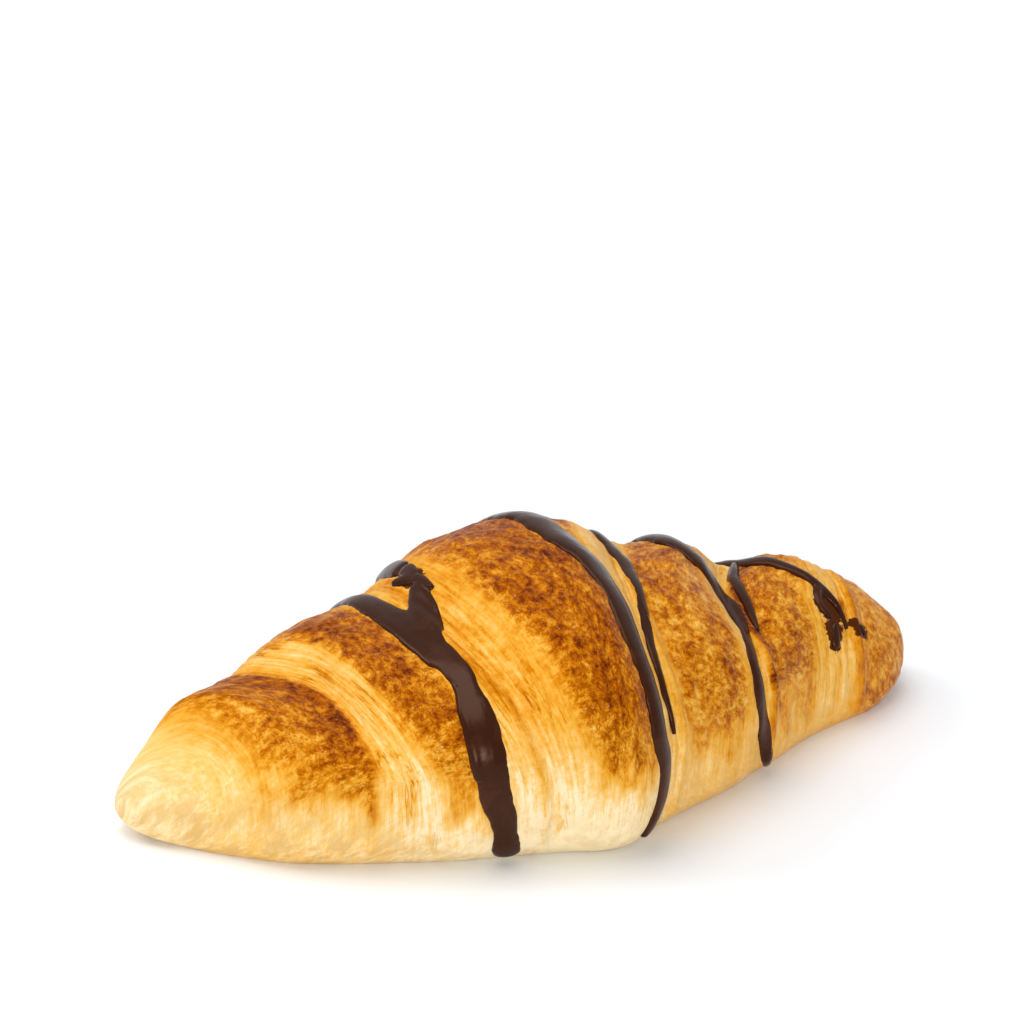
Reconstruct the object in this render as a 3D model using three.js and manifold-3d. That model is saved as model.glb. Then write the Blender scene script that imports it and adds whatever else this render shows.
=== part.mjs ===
// Straight croissant of rolled laminated dough, with lines of set chocolate piped over it after baking.
// Millimetres.  X runs along the roll, -Y is its front, Z is up and its flat underside lies at Z = 0.
import * as THREE from "three";
import { mergeVertices } from "three/addons/utils/BufferGeometryUtils.js";
import Module from "manifold-3d";

const wasm = await Module();
wasm.setup();

// Body of the roll
const LENGTH = 165;
const HALF_LENGTH = LENGTH / 2;
const WIDEST_AT_LEFT = 5.5; // height of the widest level
const WIDEST_AT_RIGHT = 8.5;
const WIDEST_IN_MIDDLE = 20.5;
const WIDEST_SWELL = 1.1; // above 1, that level reaches its full height before the middle
const LEFT_NOSE = 17; // length of the rounded tips
const RIGHT_NOSE = 13;
const UPPER_FULLNESS = 2.15; // exponents of the section: 2 is an ellipse, more is squarer
const LOWER_FULLNESS = 3;
const FULL_BELOW = 0.7; // how far below the widest level it gets its lower fullness, as a sine
// The lower half would reach down this many times the widest level, but the tray flattens what passes 1
const UNDERSIDE_DEPTH = 1.25;
const WIDTH_SHARE = 0.4; // how strongly the width follows the steps of the crest

// Each wrap of dough ends in a step down to the next wrap out, at its foot.
// Crest height at places along the roll, from the left tip to the right one.
const CREST = [
  [-82.5, 15.5],
  [-80, 14.5],
  [-72, 18.3],
  [-62, 27],
  [-50.6, 27.4], // foot of the left outer wrap
  [-36, 35.6],
  [-22.3, 38.6], // foot of the middle wrap, left
  [-7, 48],
  [3, 49.2],
  [13, 45.7],
  [21.1, 39.6], // foot of the middle wrap, right
  [31, 38.8],
  [38, 35.3],
  [44.1, 29.5], // foot of the right inner wrap
  [53, 31],
  [60, 29.8],
  [69, 24.8], // foot of the right outer wrap
  [73, 22.5],
  [80, 20],
  [82.5, 20],
];

// The same crest with its steps smoothed away
const SMOOTH_CREST = [
  [-82.5, 11],
  [-78, 15],
  [-60, 25.5],
  [-30, 39],
  [0, 47.5],
  [30, 40],
  [60, 27],
  [78, 17],
  [82.5, 12],
];

const HALF_WIDTH = [
  [-82.5, 8.5],
  [-74, 10.5],
  [-60, 18.5],
  [-42, 27],
  [-22, 33.5],
  [-8, 38],
  [2, 39.2],
  [12, 36.5],
  [24, 31.5],
  [38, 27],
  [56, 17.5],
  [70, 13.5],
  [82.5, 10],
];

// The roll is bowed: its middle line lies further forward, to -Y, than its ends
const MIDDLE_LINE = [
  [-82.5, 1],
  [-60, -5],
  [-30, -9.4],
  [0, -9.6],
  [30, -7],
  [60, -2],
  [82.5, -0.5],
];

// The feet wind round the roll: how far they move along it, where round it, and over what part of a turn
const LEAN = [
  [-43, -7.3],
  [-30, -13.6],
  [-8, -13.6],
  [12, 6],
  [26, 5],
  [50, 5],
  [66, 3],
];
const LEAN_MIDDLE = [
  [-43, 0.55],
  [-30, 0.5],
  [-8, 0.5],
  [12, 0.53],
  [50, 0.53],
  [66, 0.5],
];
const LEAN_SPREAD = [
  [-43, 0.07],
  [-30, 0.35],
  [-8, 0.35],
  [12, 0.09],
  [26, 0.06],
  [50, 0.06],
  [66, 0.15],
];

// Mesh fineness
const CROISSANT_AROUND = 44;
const CROISSANT_ALONG = 76;
const LINE_AROUND = 8;
const LINE_RING_SPACING = 3.5;

// Chocolate lines
const GAP = 0.35; // clearance to the crust, which keeps each line a solid of its own
const BROAD_HEIGHT = 1.6;
const THIN_HEIGHT = 1.5;
const END_LENGTH = 2.5; // length of a line's round end
const GIRTH = 240; // length of a whole turn round the roll, to measure the paths with
const PROBE = 1; // half the distance over which the crust's slope is measured

// Each point of a path is the place along the roll, the turn round it and the width.
// A turn of 0.25 is the front, 0.5 the crest and 0.75 the back.
const LEFT_TRUNK = [
  [-18.2, 0.137, 5.2],
  [-19.5, 0.182, 5],
  [-21.5, 0.221, 6],
  [-23.2, 0.28, 7.4],
  [-23, 0.345, 6.8],
  [-23, 0.408, 6],
  [-24.6, 0.455, 7],
  [-26, 0.495, 7],
  [-27.5, 0.545, 5.6],
  [-28.8, 0.615, 4.6],
  [-31, 0.66, 4],
  [-32.6, 0.7, 3.4],
];
const LEFT_FORK = [
  [-25, 0.45, 6.4],
  [-22.6, 0.5, 6.2],
  [-20.9, 0.54, 4.8],
  [-19.8, 0.57, 4.4],
  [-20, 0.605, 5.6],
  [-19.6, 0.65, 4.8],
  [-19, 0.7, 3.6],
  [-18.6, 0.74, 2.8],
];
const CENTRE_BROAD = [
  [7, 0.15, 2.8],
  [9.5, 0.19, 4],
  [9.8, 0.245, 4.2],
  [8.5, 0.3, 4.6],
  [8.3, 0.35, 5.3],
  [8.8, 0.41, 5.8],
  [8.9, 0.46, 6.8],
  [6.6, 0.51, 8],
  [5.6, 0.56, 7.8],
  [3.6, 0.61, 7],
  [1, 0.67, 5.5],
  [0, 0.73, 4],
  [0.6, 0.78, 2.8],
];
const CENTRE_THIN = [
  [12.6, 0.272, 1],
  [12.6, 0.33, 1.8],
  [13.4, 0.39, 2.2],
  [16.1, 0.44, 2.5],
  [18.8, 0.49, 3],
  [20.9, 0.56, 3.8],
  [21.5, 0.6, 3.4],
  [22.5, 0.66, 2.4],
];
const RIGHT_BROAD = [
  [41.6, 0.14, 2.2],
  [39.4, 0.19, 3.2],
  [37.2, 0.235, 3.4],
  [36.2, 0.3, 3.9],
  [36.9, 0.365, 4],
  [39, 0.43, 3.6],
  [39.4, 0.49, 5.2],
  [38, 0.52, 5.8],
  [34.6, 0.59, 5.4],
  [33.4, 0.64, 4.4],
  [32.8, 0.7, 3.2],
  [33, 0.74, 2.6],
];
const RIGHT_THIN = [
  [41.4, 0.392, 1.8],
  [42.6, 0.435, 2.2],
  [44, 0.492, 2.6],
  [45, 0.54, 2.4],
];
const END_LINE = [
  [63.9, 0.346, 1.2],
  [63.8, 0.38, 1.6],
  [63.2, 0.41, 2],
  [61.2, 0.438, 2.8],
  [58.2, 0.477, 3],
  [56, 0.487, 3.2],
  [53.8, 0.497, 3.6],
  [50, 0.54, 3.4],
  [47.6, 0.565, 3.2],
  [46.3, 0.6, 3],
  [46, 0.65, 2.6],
  [46.6, 0.72, 2.4],
];
const END_SMEAR = [
  [59.9, 0.298, 2],
  [60.4, 0.335, 2.6],
  [60.2, 0.365, 2],
  [59.2, 0.39, 2.2],
  [58.9, 0.41, 2.4],
  [60.2, 0.438, 2.8],
];

const { clamp, lerp, smoothstep } = THREE.MathUtils;

// Value at a place on an outline of [place, value] points: a smooth curve that never overshoots them
function outline(points, place) {
  const last = points.length - 1;
  const x = clamp(place, points[0][0], points[last][0]);
  const chord = (i) => (points[i + 1][1] - points[i][1]) / (points[i + 1][0] - points[i][0]);
  const slope = (i) => {
    if (i === 0 || i === last) return chord(Math.min(i, last - 1));
    const before = chord(i - 1);
    const after = chord(i);
    return before * after > 0 ? (2 * before * after) / (before + after) : 0;
  };
  const i = points.findIndex((point, index) => index > 0 && x <= point[0]) - 1;
  const span = points[i + 1][0] - points[i][0];
  const t = (x - points[i][0]) / span;
  const start = points[i][1] * (1 + 2 * t) * (1 - t) ** 2 + slope(i) * span * t * (1 - t) ** 2;
  const end = points[i + 1][1] * t * t * (3 - 2 * t) + slope(i + 1) * span * t * t * (t - 1);
  return start + end;
}

// Point of the crust at a place along the roll and a turn round it, which starts underneath
function crustPoint(along, turn) {
  const wound = (outline(LEAN_MIDDLE, along) - turn) / outline(LEAN_SPREAD, along);
  const lean = outline(LEAN, along) * Math.tanh(wound);
  const crest = outline(CREST, along + lean);
  const nose = along < 0 ? LEFT_NOSE : RIGHT_NOSE;
  const tip = clamp((Math.abs(along) - HALF_LENGTH + nose) / nose, 0, 1);
  const closing = Math.sqrt(1 - tip * tip);
  const taper = 1 - (along / HALF_LENGTH) ** 2;
  const widestAtEnd = along < 0 ? WIDEST_AT_LEFT : WIDEST_AT_RIGHT;
  const widest = lerp(widestAtEnd, WIDEST_IN_MIDDLE, smoothstep(WIDEST_SWELL * taper, 0, 1));
  const stepped = 1 + WIDTH_SHARE * (crest / outline(SMOOTH_CREST, along) - 1);
  const halfWidth = outline(HALF_WIDTH, along) * stepped * closing;
  const angle = 2 * Math.PI * (turn - 0.25);
  const upper = Math.sin(angle) >= 0;
  const power = 2 / lerp(UPPER_FULLNESS, LOWER_FULLNESS, smoothstep(-Math.sin(angle), 0, FULL_BELOW));
  const reach = (upper ? Math.max(crest - widest, 0) : -UNDERSIDE_DEPTH * widest) * closing;
  const across = -Math.sign(Math.cos(angle)) * Math.abs(Math.cos(angle)) ** power * halfWidth;
  const height = widest + reach * Math.abs(Math.sin(angle)) ** power;
  return new THREE.Vector3(along, outline(MIDDLE_LINE, along) + across, Math.max(height, 0));
}

// How a point of the crust moves with each mm along the roll and round it, and the way out of the crust
function crustDirections(along, turn) {
  const alongWay = crustPoint(along + PROBE, turn).sub(crustPoint(along - PROBE, turn));
  const roundWay = crustPoint(along, turn + PROBE / GIRTH).sub(crustPoint(along, turn - PROBE / GIRTH));
  const out = roundWay.clone().cross(alongWay).normalize();
  return { alongWay, roundWay, out };
}

function closedMesh(geometry) {
  geometry.deleteAttribute("normal");
  geometry.deleteAttribute("uv");
  return mergeVertices(geometry, 1e-4);
}

// A sphere with its poles on X, whose rings become the roll's sections
function croissantGeometry() {
  const geometry = new THREE.SphereGeometry(1, CROISSANT_AROUND, CROISSANT_ALONG).rotateZ(-Math.PI / 2);
  const positions = geometry.getAttribute("position");
  const unit = new THREE.Vector3();
  for (let i = 0; i < positions.count; i += 1) {
    unit.fromBufferAttribute(positions, i);
    const turn = Math.atan2(-unit.y, -unit.z) / (2 * Math.PI);
    const point = crustPoint(clamp(unit.x, -1, 1) * HALF_LENGTH, (turn + 1) % 1);
    positions.setXYZ(i, point.x, point.y, point.z);
  }
  return closedMesh(geometry);
}

// A sphere with its poles on Y, stretched along a path on the crust with its lower half sunk in it
function ropeGeometry(path, height) {
  const points = path.map(([along, turn, width]) => new THREE.Vector3(along, turn * GIRTH, width));
  const curve = new THREE.CatmullRomCurve3(points, false, "centripetal");
  const length = curve.getLength();
  const rings = Math.round(length / LINE_RING_SPACING) + 2;
  const geometry = new THREE.SphereGeometry(1, LINE_AROUND, rings);
  const positions = geometry.getAttribute("position");
  const unit = new THREE.Vector3();
  for (let i = 0; i < positions.count; i += 1) {
    unit.fromBufferAttribute(positions, i);
    const part = Math.acos(clamp(unit.y, -1, 1)) / Math.PI;
    const place = curve.getPointAt(part);
    const ahead = curve.getTangentAt(part);
    const toEnd = Math.min((Math.min(part, 1 - part) * length) / END_LENGTH, 1);
    const roundness = Math.sqrt(1 - (1 - toEnd) ** 2);
    const ring = Math.hypot(unit.x, unit.z) || 1;
    const { alongWay, roundWay, out } = crustDirections(place.x, place.y / GIRTH);
    const forward = alongWay.multiplyScalar(ahead.x).addScaledVector(roundWay, ahead.y);
    const across = out.clone().cross(forward).normalize();
    const point = crustPoint(place.x, place.y / GIRTH);
    point.addScaledVector(across, ((unit.x / ring) * roundness * place.z) / 2);
    point.addScaledVector(out, (unit.z / ring) * roundness * height);
    positions.setXYZ(i, point.x, point.y, point.z);
  }
  return closedMesh(geometry);
}

function toSolid(geometry) {
  const vertProperties = new Float32Array(geometry.getAttribute("position").array);
  const triVerts = new Uint32Array(geometry.getIndex().array);
  return new wasm.Manifold(new wasm.Mesh({ numProp: 3, vertProperties, triVerts }));
}

function toGeometry(solid) {
  const { vertProperties, triVerts } = solid.getMesh();
  const geometry = new THREE.BufferGeometry();
  geometry.setAttribute("position", new THREE.BufferAttribute(vertProperties, 3));
  geometry.setIndex(new THREE.BufferAttribute(triVerts, 1));
  return geometry;
}

// The croissant grown by the gap, which cuts the underside of each line
function grownCroissant(geometry) {
  const grown = geometry.clone();
  grown.computeVertexNormals();
  const positions = grown.getAttribute("position");
  const normals = grown.getAttribute("normal");
  const point = new THREE.Vector3();
  const normal = new THREE.Vector3();
  for (let i = 0; i < positions.count; i += 1) {
    point.fromBufferAttribute(positions, i);
    point.addScaledVector(normal.fromBufferAttribute(normals, i), GAP);
    positions.setXYZ(i, point.x, point.y, point.z);
  }
  return toSolid(grown);
}

function namedMesh(name, geometry, color, roughness) {
  const mesh = new THREE.Mesh(geometry, new THREE.MeshStandardMaterial({ color, roughness, metalness: 0 }));
  mesh.name = name;
  return mesh;
}

const CRUST_COLOR = 0xc98f45;
const CRUST_ROUGHNESS = 0.55;
const CHOCOLATE_COLOR = 0x2b130b;
const CHOCOLATE_ROUGHNESS = 0.35;

const croissant = croissantGeometry();
const cutter = grownCroissant(croissant);

function chocolateLine(name, paths, height) {
  const ropes = paths.map((path) => toSolid(ropeGeometry(path, height)));
  const whole = ropes.reduce((joined, rope) => joined.add(rope));
  return namedMesh(name, toGeometry(whole.subtract(cutter)), CHOCOLATE_COLOR, CHOCOLATE_ROUGHNESS);
}

const roll = new THREE.Group();
roll.add(
  namedMesh("croissant", croissant, CRUST_COLOR, CRUST_ROUGHNESS),
  chocolateLine("drizzle_left_forked", [LEFT_TRUNK, LEFT_FORK], BROAD_HEIGHT),
  chocolateLine("drizzle_centre_broad", [CENTRE_BROAD], BROAD_HEIGHT),
  chocolateLine("drizzle_centre_thin", [CENTRE_THIN], THIN_HEIGHT),
  chocolateLine("drizzle_right_broad", [RIGHT_BROAD], BROAD_HEIGHT),
  chocolateLine("drizzle_right_thin", [RIGHT_THIN], THIN_HEIGHT),
  chocolateLine("drizzle_end_smeared", [END_LINE, END_SMEAR], THIN_HEIGHT),
);

// The origin is the middle of the box's underside
const centre = new THREE.Box3().setFromObject(roll).getCenter(new THREE.Vector3());
roll.position.set(-centre.x, -centre.y, 0);

const group = new THREE.Group();
group.add(roll);

export default group;
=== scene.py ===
"""A straight croissant with set chocolate lines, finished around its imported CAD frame."""

import math

import bmesh
import bpy
import numpy as np
from mathutils import Matrix, Vector, noise


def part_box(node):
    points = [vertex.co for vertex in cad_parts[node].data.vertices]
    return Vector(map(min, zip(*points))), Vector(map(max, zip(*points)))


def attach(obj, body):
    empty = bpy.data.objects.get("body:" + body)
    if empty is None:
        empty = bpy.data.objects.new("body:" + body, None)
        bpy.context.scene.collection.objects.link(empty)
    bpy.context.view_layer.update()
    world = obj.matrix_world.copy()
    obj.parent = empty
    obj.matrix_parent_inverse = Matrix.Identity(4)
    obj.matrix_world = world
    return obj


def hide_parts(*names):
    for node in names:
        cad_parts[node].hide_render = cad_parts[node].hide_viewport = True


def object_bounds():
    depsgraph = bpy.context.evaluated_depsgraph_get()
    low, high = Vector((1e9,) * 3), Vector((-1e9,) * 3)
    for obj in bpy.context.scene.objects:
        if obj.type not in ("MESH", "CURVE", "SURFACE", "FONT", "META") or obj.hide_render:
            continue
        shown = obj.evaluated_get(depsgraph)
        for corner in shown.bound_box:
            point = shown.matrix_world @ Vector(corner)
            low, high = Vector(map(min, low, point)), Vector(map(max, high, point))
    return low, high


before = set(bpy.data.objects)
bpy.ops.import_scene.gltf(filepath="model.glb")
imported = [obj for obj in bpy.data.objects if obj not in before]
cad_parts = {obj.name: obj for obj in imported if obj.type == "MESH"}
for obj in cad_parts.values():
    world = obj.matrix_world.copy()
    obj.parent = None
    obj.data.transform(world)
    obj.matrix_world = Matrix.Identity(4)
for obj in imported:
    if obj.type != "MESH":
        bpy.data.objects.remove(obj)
cad_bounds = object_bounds()

bl_info = {
    "name": "Chocolate-drizzled croissant",
    "version": (1, 0, 0),
    "blender": (4, 5, 0),
    "location": "3D Viewport > Sidebar > Pastry",
    "description": "Models a laminated croissant and the chocolate lines on it",
    "category": "Add Mesh",
}

BODY = "root"
CROISSANT_NODE = "croissant"
MILLIMETRE = 0.001

# ---------------------------------------------------------------------------------------------------
# The form of the roll, drawn in millimetres round its own middle and fitted to the frame's box.
# Along is the place on the roll, and turn is the part of a turn round it: 0 is underneath, 0.25 the
# front, 0.5 the crest and 0.75 the back.
# ---------------------------------------------------------------------------------------------------
HALF_LENGTH = 82.5
# Height at which the roll is widest, by its two tips and in the middle, and how soon it gets there
WIDEST_AT_LEFT = 5.5
WIDEST_AT_RIGHT = 8.5
WIDEST_IN_MIDDLE = 20.5
WIDEST_SWELL = 1.1
# Length of each rounded tip
LEFT_NOSE = 17
RIGHT_NOSE = 13
# The section is an ellipse where its fullness is 2, and squarer the fuller it is. It is at its
# fullest where the sine of its angle is this far below 0.
UPPER_FULLNESS = 2.15
LOWER_FULLNESS = 3
FULL_BELOW = 0.7
# Depth of the section below its widest place, as a share of that height. The tray cuts it flat at 1.
UNDERSIDE_DEPTH = 1.25
WIDTH_SHARE = 0.4  # share of the crest's steps that shows in the width

# Height of the crest at places along the roll
CREST = (
    (-82.5, 15.5), (-80, 14.5), (-72, 18.3), (-62, 27), (-50.6, 27.4), (-36, 35.6), (-22.3, 38.6),
    (-7, 48), (3, 49.2), (13, 45.7), (21.1, 39.6), (31, 38.8), (38, 35.3), (44.1, 29.5), (53, 31),
    (60, 29.8), (69, 24.8), (73, 22.5), (80, 20), (82.5, 20),
)
# The crest without the wraps' steps
SMOOTH_CREST = (
    (-82.5, 11), (-78, 15), (-60, 25.5), (-30, 39), (0, 47.5), (30, 40), (60, 27), (78, 17), (82.5, 12),
)
# Half the width at places along the roll
HALF_WIDTH = (
    (-82.5, 8.5), (-74, 10.5), (-60, 18.5), (-42, 27), (-22, 33.5), (-8, 38), (2, 39.2), (12, 36.5),
    (24, 31.5), (38, 27), (56, 17.5), (70, 13.5), (82.5, 10),
)
# How far the roll's middle line lies in front of the drawn axis or behind it
MIDDLE_LINE = ((-82.5, 1), (-60, -5), (-30, -9.4), (0, -9.6), (30, -7), (60, -2), (82.5, -0.5))
# How far the wraps lean along the roll as they wind round it, and the turn and spread of the lean
LEAN = ((-43, -7.3), (-30, -13.6), (-8, -13.6), (12, 6), (26, 5), (50, 5), (66, 3))
LEAN_MIDDLE = ((-43, 0.55), (-30, 0.5), (-8, 0.5), (12, 0.53), (26, 0.53), (50, 0.53), (66, 0.5))
LEAN_SPREAD = ((-43, 0.07), (-30, 0.35), (-8, 0.35), (12, 0.09), (26, 0.06), (50, 0.06), (66, 0.15))

GIRTH = 240  # a whole turn at the middle, which measures steps round the roll

# Feet are where one wrap of dough ends in a step down to the next. Each has its place, the way its
# step rises (1 towards +X), how far its layered edge reaches, how deep it is cut and how thick its lip is.
FEET = (
    (-50.6, 1, 10, 0.7, 0.35),
    (-22.3, 1, 5, 0.7, 0.6),
    (-28.4, 1, 6, 0.15, 0.1),
    (20.6, -1, 3, 1.1, 0.3),
    (45.1, -1, 3, 1.1, 0.35),
    (69, -1, 8, 0.7, 0.25),
)

# How brown the crust baked along the roll, from 0 for pale dough to 1 for the darkest crust
BROWNING = (
    (-82.5, 0.25), (-76, 0.33), (-70, 0.48), (-65, 0.66), (-60, 0.76), (-55, 0.84), (-51, 0.84),
    (-49.8, 0.5), (-48, 0.36), (-43, 0.34), (-41, 0.52), (-37, 0.75), (-31, 0.74), (-28.8, 0.55),
    (-27.8, 0.34), (-23.5, 0.38), (-22, 0.39), (-20, 0.41), (-14.5, 0.39), (-12.5, 0.5), (-10, 0.68),
    (-4, 0.77), (6, 0.74), (10, 0.64), (12, 0.38), (14, 0.28), (19, 0.27), (21.5, 0.32), (23, 0.54),
    (24.5, 0.62), (31, 0.66), (37, 0.62), (39, 0.4), (41, 0.28), (44.2, 0.3), (45.4, 0.8), (47, 0.78),
    (49, 0.7), (55, 0.66), (58.5, 0.6), (60.5, 0.4), (62, 0.34), (66, 0.34), (68.5, 0.44), (71, 0.55),
    (76, 0.52), (82.5, 0.5),
)

# The height at which the browning has faded by half towards the base, and the tone of the base
BROWN_BASE = (
    (-82.5, 15), (-70, 17), (-60, 15.5), (-52, 17), (-46, 16), (-40, 11.5), (-20, 13), (0, 18), (12, 17),
    (25, 15), (40, 14), (52, 9), (62, 2), (75, -8),
)
BASE_TONE = (
    (-82.5, 0.05), (-60, 0.17), (-45, 0.12), (-30, 0.04), (-10, -0.05), (6, 0.03), (15, 0.16), (25, 0.22),
    (45, 0.26), (60, 0.26), (75, 0.46),
)
PALE_TONE = 0.38  # dough lighter than this isn't crusted

# Thin films of chocolate wiped on the crust: place along the roll, turn and radius
STAINS = (
    (60.2, 0.41, 2.8), (61.4, 0.385, 3), (60.6, 0.35, 2.6), (62.8, 0.4, 2), (66, 0.364, 1.4),
    (67.4, 0.348, 2.2), (60.4, 0.332, 2.2), (60, 0.306, 1.7), (-19.6, 0.565, 2.3),
)


def outline(points, place):
    """Values of a smooth curve through [place, value] points that never overshoots them."""
    places, values = np.array(points, float).T
    place = np.clip(place, places[0], places[-1])
    chord = np.diff(values) / np.diff(places)
    product = chord[:-1] * chord[1:]
    total = np.where(product > 0, chord[:-1] + chord[1:], 1)
    slope = np.concatenate((chord[:1], np.where(product > 0, 2 * product / total, 0), chord[-1:]))
    i = np.clip(np.searchsorted(places, place, side="left") - 1, 0, len(places) - 2)
    span = places[i + 1] - places[i]
    t = (place - places[i]) / span
    start = values[i] * (1 + 2 * t) * (1 - t) ** 2 + slope[i] * span * t * (1 - t) ** 2
    end = values[i + 1] * t * t * (3 - 2 * t) + slope[i + 1] * span * t * t * (t - 1)
    return start + end


def smoothstep(low, high, value):
    t = np.clip((value - low) / (high - low), 0, 1)
    return t * t * (3 - 2 * t)


def bump(value, centre, spread):
    return np.exp(-(((value - centre) / spread) ** 2))


SEED_STEP = 17.3  # shift of the noise from one seed to the next


def noise_at(points, scale, seed=0):
    """Smooth noise from -1 to 1 at each point, with features about scale apart."""
    points = np.asarray(points) / np.asarray(scale, float) + seed * SEED_STEP
    return np.array([noise.noise(point) for point in points.tolist()])


def wound(along, turn):
    """The place on the roll, followed back along the wraps to the crest's outline."""
    phase = (outline(LEAN_MIDDLE, along) - turn) / outline(LEAN_SPREAD, along)
    return along + outline(LEAN, along) * np.tanh(phase)


def smooth_point(along, turn):
    """Points of the roll before its relief, in millimetres."""
    crest = outline(CREST, wound(along, turn))
    nose = np.where(along < 0, LEFT_NOSE, RIGHT_NOSE)
    tip = np.clip((np.abs(along) - HALF_LENGTH + nose) / nose, 0, 1)
    closing = np.sqrt(1 - tip**2)
    taper = 1 - (along / HALF_LENGTH) ** 2
    rise = smoothstep(0, 1, WIDEST_SWELL * taper)
    widest = np.where(along < 0, WIDEST_AT_LEFT, WIDEST_AT_RIGHT)
    widest = widest + (WIDEST_IN_MIDDLE - widest) * rise
    stepped = 1 + WIDTH_SHARE * (crest / outline(SMOOTH_CREST, along) - 1)
    half_width = outline(HALF_WIDTH, along) * stepped * closing
    angle = 2 * math.pi * (turn - 0.25)
    sine = np.sin(angle)
    cosine = np.cos(angle)
    power = 2 / (UPPER_FULLNESS + (LOWER_FULLNESS - UPPER_FULLNESS) * smoothstep(0, FULL_BELOW, -sine))
    reach = np.where(sine >= 0, np.maximum(crest - widest, 0), -UNDERSIDE_DEPTH * widest) * closing
    across = -np.sign(cosine) * np.abs(cosine) ** power * half_width
    height = np.maximum(widest + reach * np.abs(sine) ** power, 0)
    return np.stack((along + 0 * turn, outline(MIDDLE_LINE, along) + across, height), -1)


def directions(along, turn, probe=0.4):
    """The ways along the roll and round it at each point, per millimetre, and the way out of it."""
    inner = HALF_LENGTH - probe - 0.01
    held = np.clip(along, -inner, inner)
    forward = (smooth_point(held + probe, turn) - smooth_point(held - probe, turn)) / (2 * probe)
    step = probe / GIRTH
    round_way = (smooth_point(held, turn + step) - smooth_point(held, turn - step)) / (2 * probe)
    out = np.cross(round_way, forward)
    return forward, round_way, out / np.maximum(np.linalg.norm(out, axis=-1, keepdims=True), 1e-9)


def girths():
    """Places along the roll and its girth at each, in millimetres."""
    places = np.linspace(-HALF_LENGTH, HALF_LENGTH, 111)
    along, turn = np.meshgrid(places, np.linspace(0, 1, 121), indexing="ij")
    return places, np.linalg.norm(np.diff(smooth_point(along, turn), axis=1), axis=-1).sum(1)


GIRTH_PLACES, GIRTHS = girths()


def on_wraps(along, turn):
    """Places on the wraps, in millimetres along the roll and round it from its crest."""
    place = wound(along, turn)
    round_place = (turn - 0.5) * np.interp(along, GIRTH_PLACES, GIRTHS)
    return np.stack((place, round_place, np.zeros_like(place)), -1)


def wandering(flat):
    """How far the wraps' edges stray from their lines, in millimetres."""
    return 0.8 * noise_at(flat, (30, 22, 1), 3) + 0.4 * noise_at(flat, (11, 9, 1), 4)


# Half the width of a foot's cut on its low side and on its high side, and where its lip is and how
# wide, in millimetres
CUT_LOW_SIDE = 1.1
CUT_HIGH_SIDE = 0.75
LIP_PLACE = 1.9
LIP_WIDTH = 1.2


def feet(flat, turn, depth_scale):
    """Lift of the wraps' cut feet and thick lips, how deep in a crease each point is (which the crust's
    colour darkens as painted shade) and how layered.
    """
    place = flat[:, 0] + wandering(flat)
    lift = np.zeros_like(place)
    crease = np.zeros_like(place)
    layered = np.zeros_like(place)
    crest_calm = 1 - 0.75 * bump(turn, 0.57, 0.08)
    for number, (foot, rise, reach, depth, lip) in enumerate(FEET):
        away = (place - foot) * rise
        strength = (1 + 0.6 * noise_at(flat, (40, 14, 1), 10 + number)) * crest_calm
        width = np.where(away < 0, CUT_LOW_SIDE, CUT_HIGH_SIDE)
        cut = 1 / (1 + (away / width) ** 2) ** 1.5
        crease = np.maximum(crease, cut * np.clip(strength * depth, 0, 1.5))
        lift += lip * strength * bump(away, LIP_PLACE, LIP_WIDTH) - depth_scale * depth * strength * cut
        edge = smoothstep(0.3, 1.5, away) * smoothstep(reach + 2.5, reach - 2.5, away)
        layered = np.maximum(layered, edge)
    return lift, np.clip(crease, 0, 1), layered


def baked_tone(along, flat, height):
    """Tone of the crust at each point: pale low down and in the stretched dough, brown on the wraps."""
    edge = outline(BROWN_BASE, along) + 6 * noise_at(flat, (6, 8, 1), 8)
    edge = edge + 5 * noise_at(flat, (2.6, 3, 1), 18)
    ragged = noise_at(flat, (5, 7, 1), 19)
    baked = outline(BROWNING, flat[:, 0] + wandering(flat) + ragged)
    pale = np.minimum(baked, PALE_TONE)
    base = outline(BASE_TONE, along)
    tone = base + (pale - base) * smoothstep(5, 38, height)
    above = height - edge
    return tone + (baked - pale) * smoothstep(-5, 6, above) * (0.85 + 0.15 * smoothstep(2, 16, above))


def stained(along, turn):
    """How near each point is to the middle of a chocolate stain, from 0 to 1."""
    amount = np.zeros_like(along)
    for place, stain_turn, radius in STAINS:
        across = (turn - stain_turn) * np.interp(along, GIRTH_PLACES, GIRTHS)
        amount = np.maximum(amount, np.exp(-((along - place) ** 2 + across**2) / radius**2))
    return amount


def swollen(base):
    """Broad unevenness of the roll, in millimetres."""
    return 0.9 * noise_at(base, 26, 1) + 0.45 * noise_at(base, 11, 2)


CREASE_UNDER_CHOCOLATE = 0.35  # share of a crease's depth that shows through a line of chocolate


def calm_lift(base, flat, turn, settings):
    """The relief's broad shapes, which chocolate follows as it bridges the creases."""
    crease_depth = settings.crease_depth / MILLIMETRE * CREASE_UNDER_CHOCOLATE
    return swollen(base) + feet(flat, turn, crease_depth)[0]


def clear_of_tray(height):
    """0 on the tray, where the dough lies flat, and 1 a little above it."""
    return smoothstep(0.5, 6, height)


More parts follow.
